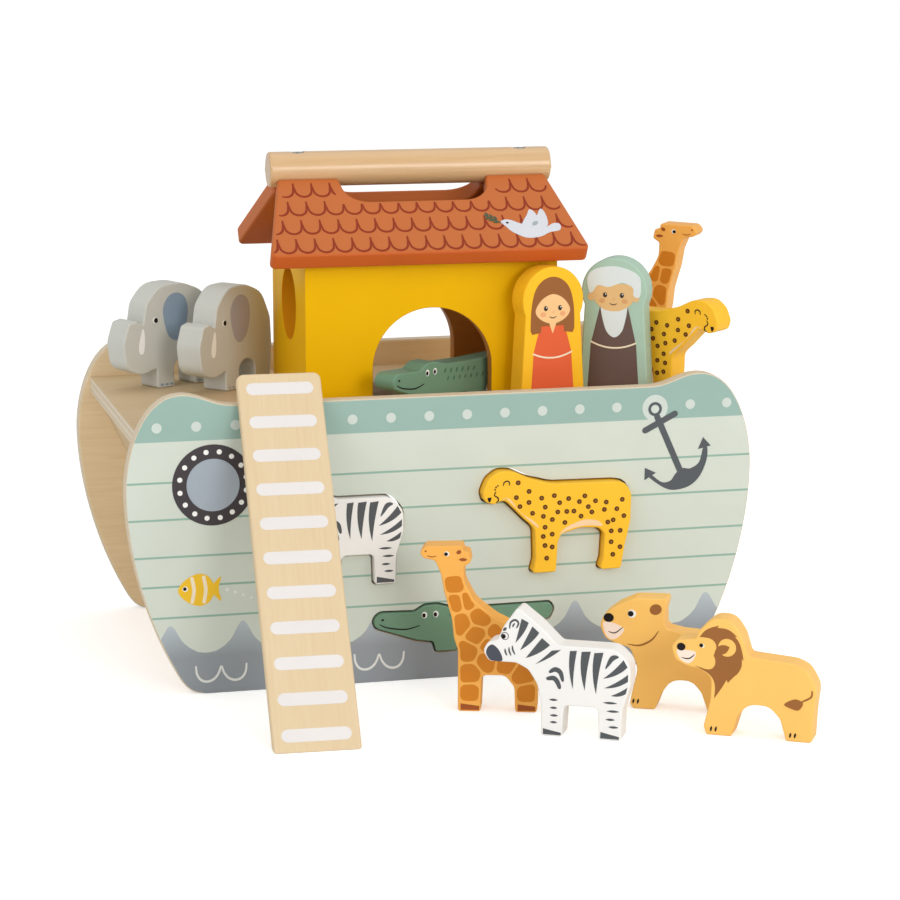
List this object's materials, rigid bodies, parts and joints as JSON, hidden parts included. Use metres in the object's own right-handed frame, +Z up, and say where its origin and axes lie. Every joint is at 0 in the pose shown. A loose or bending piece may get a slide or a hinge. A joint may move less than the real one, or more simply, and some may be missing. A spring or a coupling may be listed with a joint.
{
  "type": "toy ark with figures",
  "caption": "Wooden boat-shaped toy with a cabin, lift-off gabled roof, boarding ramp and flat standing animal and people figures that also fit slots in its sides",
  "frame": {"origin": "middle of the hull's flat base, on the floor", "axes": "+X along the hull towards the end with the anchor, +Y from the front panel to the back panel, +Z up"},
  "size_m": [0.3517, 0.3636, 0.2731],
  "materials": {
    "panel_paint": "satin pale mint paint on wood, bare rounded edges",
    "plywood": "bare satin plywood",
    "cabin_paint": "satin yellow paint on wood",
    "roof_paint": "satin terracotta paint on wood",
    "beech": "bare satin beech",
    "birch": "bare satin birch",
    "screw_steel": "bare steel",
    "elephant_paint": "satin light grey paint on wood",
    "lion_paint": "satin tan paint on wood",
    "giraffe_paint": "satin orange paint on wood",
    "zebra_paint": "satin off-white paint on wood",
    "leopard_paint": "satin yellow paint on wood",
    "crocodile_paint": "satin green paint on wood",
    "woman_paint": "satin yellow paint on wood",
    "man_paint": "satin mint paint on wood"
  },
  "bodies": {
    "hull": {"front_panel": "panel_paint", "back_panel": "panel_paint", "deck": "plywood", "bow_board": "plywood", "stern_board": "plywood", "bottom_board": "plywood", "cabin_front_wall": "cabin_paint", "cabin_back_wall": "cabin_paint", "cabin_left_wall": "cabin_paint", "cabin_right_wall": "cabin_paint"},
    "roof": {"roof_front_plate": "roof_paint", "roof_back_plate": "roof_paint", "ridge_block_left": "beech", "ridge_block_right": "beech", "ridge_handle": "beech", "handle_screws": "screw_steel"},
    "ramp_board": {"ramp": "birch"},
    "elephant_blue_ear_body": {"elephant_blue_ear": "elephant_paint"},
    "elephant_grey_ear_body": {"elephant_grey_ear": "elephant_paint"},
    "lion_body": {"lion": "lion_paint"},
    "lioness_body": {"lioness": "lion_paint"},
    "floor_giraffe_body": {"floor_giraffe": "giraffe_paint"},
    "deck_giraffe_body": {"deck_giraffe": "giraffe_paint"},
    "floor_zebra_body": {"floor_zebra": "zebra_paint"},
    "slot_zebra_body": {"slot_zebra": "zebra_paint"},
    "deck_leopard_body": {"deck_leopard": "leopard_paint"},
    "slot_leopard_body": {"slot_leopard": "leopard_paint"},
    "doorway_crocodile_body": {"doorway_crocodile": "crocodile_paint"},
    "slot_crocodile_body": {"slot_crocodile": "crocodile_paint"},
    "woman_body": {"woman": "woman_paint"},
    "man_body": {"man": "man_paint"}
  },
  "joints": [
    {"name": "roof_lift", "type": "slide", "parent": "hull", "child": "roof", "axis": [0, 0, 1], "range_m": [0, 0.12]},
    {"name": "ramp_lift", "type": "slide", "parent": "hull", "child": "ramp_board", "axis": [0, 0, 1], "range_m": [0, 0.06]},
    {"name": "lion_lift", "type": "slide", "parent": "hull", "child": "lion_body", "axis": [0, 0, 1], "range_m": [0, 0.06]},
    {"name": "lioness_lift", "type": "slide", "parent": "hull", "child": "lioness_body", "axis": [0, 0, 1], "range_m": [0, 0.06]},
    {"name": "floor_giraffe_lift", "type": "slide", "parent": "hull", "child": "floor_giraffe_body", "axis": [0, 0, 1], "range_m": [0, 0.06]},
    {"name": "floor_zebra_lift", "type": "slide", "parent": "hull", "child": "floor_zebra_body", "axis": [0, 0, 1], "range_m": [0, 0.06]},
    {"name": "elephant_blue_ear_lift", "type": "slide", "parent": "hull", "child": "elephant_blue_ear_body", "axis": [0, 0, 1], "range_m": [0, 0.06]},
    {"name": "deck_giraffe_lift", "type": "slide", "parent": "hull", "child": "deck_giraffe_body", "axis": [0, 0, 1], "range_m": [0, 0.06]},
    {"name": "deck_leopard_lift", "type": "slide", "parent": "hull", "child": "deck_leopard_body", "axis": [0, 0, 1], "range_m": [0, 0.06]},
    {"name": "elephant_grey_ear_slide", "type": "slide", "parent": "hull", "child": "elephant_grey_ear_body", "axis": [-0.766, -0.6428, 0], "range_m": [0, 0.03]},
    {"name": "doorway_crocodile_slide", "type": "slide", "parent": "hull", "child": "doorway_crocodile_body", "axis": [-0.8192, -0.5736, 0], "range_m": [-0.008, 0.018]},
    {"name": "woman_slide", "type": "slide", "parent": "hull", "child": "woman_body", "axis": [0, -1, 0], "range_m": [0, 0.018]},
    {"name": "man_slide", "type": "slide", "parent": "hull", "child": "man_body", "axis": [0, -1, 0], "range_m": [0, 0.018]},
    {"name": "slot_zebra_slide", "type": "slide", "parent": "hull", "child": "slot_zebra_body", "axis": [0, -1, 0], "range_m": [-0.025, 0.012]},
    {"name": "slot_leopard_slide", "type": "slide", "parent": "hull", "child": "slot_leopard_body", "axis": [0, -1, 0], "range_m": [-0.025, 0.025]},
    {"name": "slot_crocodile_slide", "type": "slide", "parent": "hull", "child": "slot_crocodile_body", "axis": [0, -1, 0], "range_m": [-0.025, 0.025]}
  ]
}
